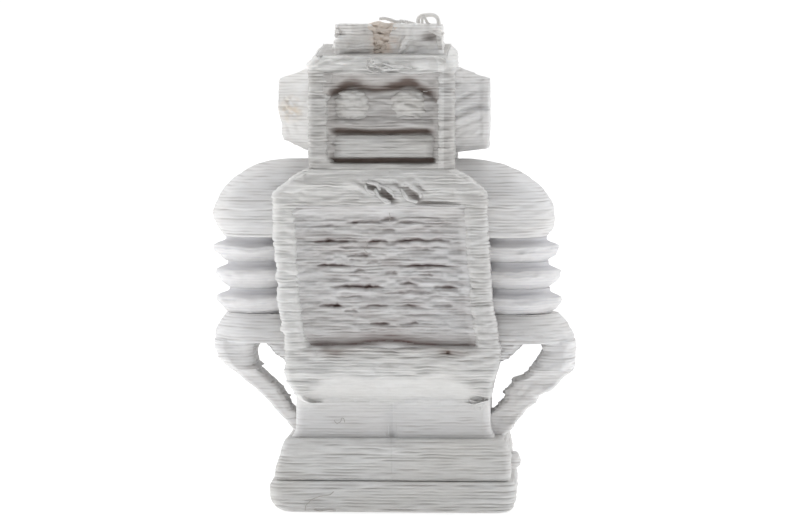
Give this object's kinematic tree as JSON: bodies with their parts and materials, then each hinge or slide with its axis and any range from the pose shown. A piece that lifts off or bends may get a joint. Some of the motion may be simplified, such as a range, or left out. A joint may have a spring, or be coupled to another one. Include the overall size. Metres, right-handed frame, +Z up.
{
  "type": "printed toy robot figure",
  "caption": "Small white layer-printed toy robot standing on a slab, with a boxy head, recessed face and chest, ridged arms, claw hands and slanted support struts.",
  "frame": {"origin": "on the table, under the middle of the overall width and depth", "axes": "+Z up through the head, -Y out of the face and chest, +X to the viewer's right when the robot is seen from the front"},
  "size_m": [0.0373, 0.0156, 0.05],
  "materials": {
    "body": "white layered plastic with fine horizontal ridges",
    "recess": "white layered plastic, rougher in the recesses",
    "cap": "white layered plastic, slightly scorched at the opening",
    "support": "white layered plastic, ragged",
    "inner_grid": "white plastic tinted brown by heat",
    "loose_strand": "loose white plastic strand"
  },
  "bodies": {
    "root": {"base_slab": "body", "base_infill": "inner_grid", "left_foot": "body", "right_foot": "body", "left_foot_infill": "inner_grid", "right_foot_infill": "inner_grid", "left_leg": "body", "right_leg": "body", "left_leg_infill": "inner_grid", "right_leg_infill": "inner_grid", "torso_shell": "body", "torso_infill": "inner_grid", "chest_frame": "body", "chest_panel": "recess", "chest_row_1": "recess", "chest_row_2": "recess", "chest_row_3": "recess", "chest_row_4": "recess", "chest_row_5": "recess", "chest_row_6": "recess", "belly_ridge": "recess", "corner_curl": "loose_strand", "hip_blob": "loose_strand", "head_shell": "body", "head_infill": "inner_grid", "face_frame": "body", "face_panel": "recess", "left_eye": "body", "right_eye": "body", "mouth_bar": "body", "left_ear": "body", "right_ear": "body", "head_cap": "cap", "cap_infill": "inner_grid", "cap_strand": "loose_strand", "cap_loop": "loose_strand", "left_shoulder": "body", "right_shoulder": "body", "left_bellows_1": "body", "left_bellows_2": "body", "left_bellows_3": "body", "right_bellows_1": "body", "right_bellows_2": "body", "right_bellows_3": "body", "left_cuff": "body", "right_cuff": "body", "left_outer_finger": "body", "right_outer_finger": "body", "left_inner_finger": "body", "right_inner_finger": "body", "left_arm_infill": "inner_grid", "right_arm_infill": "inner_grid", "left_strut": "support", "right_strut": "support"}
  },
  "joints": []
}
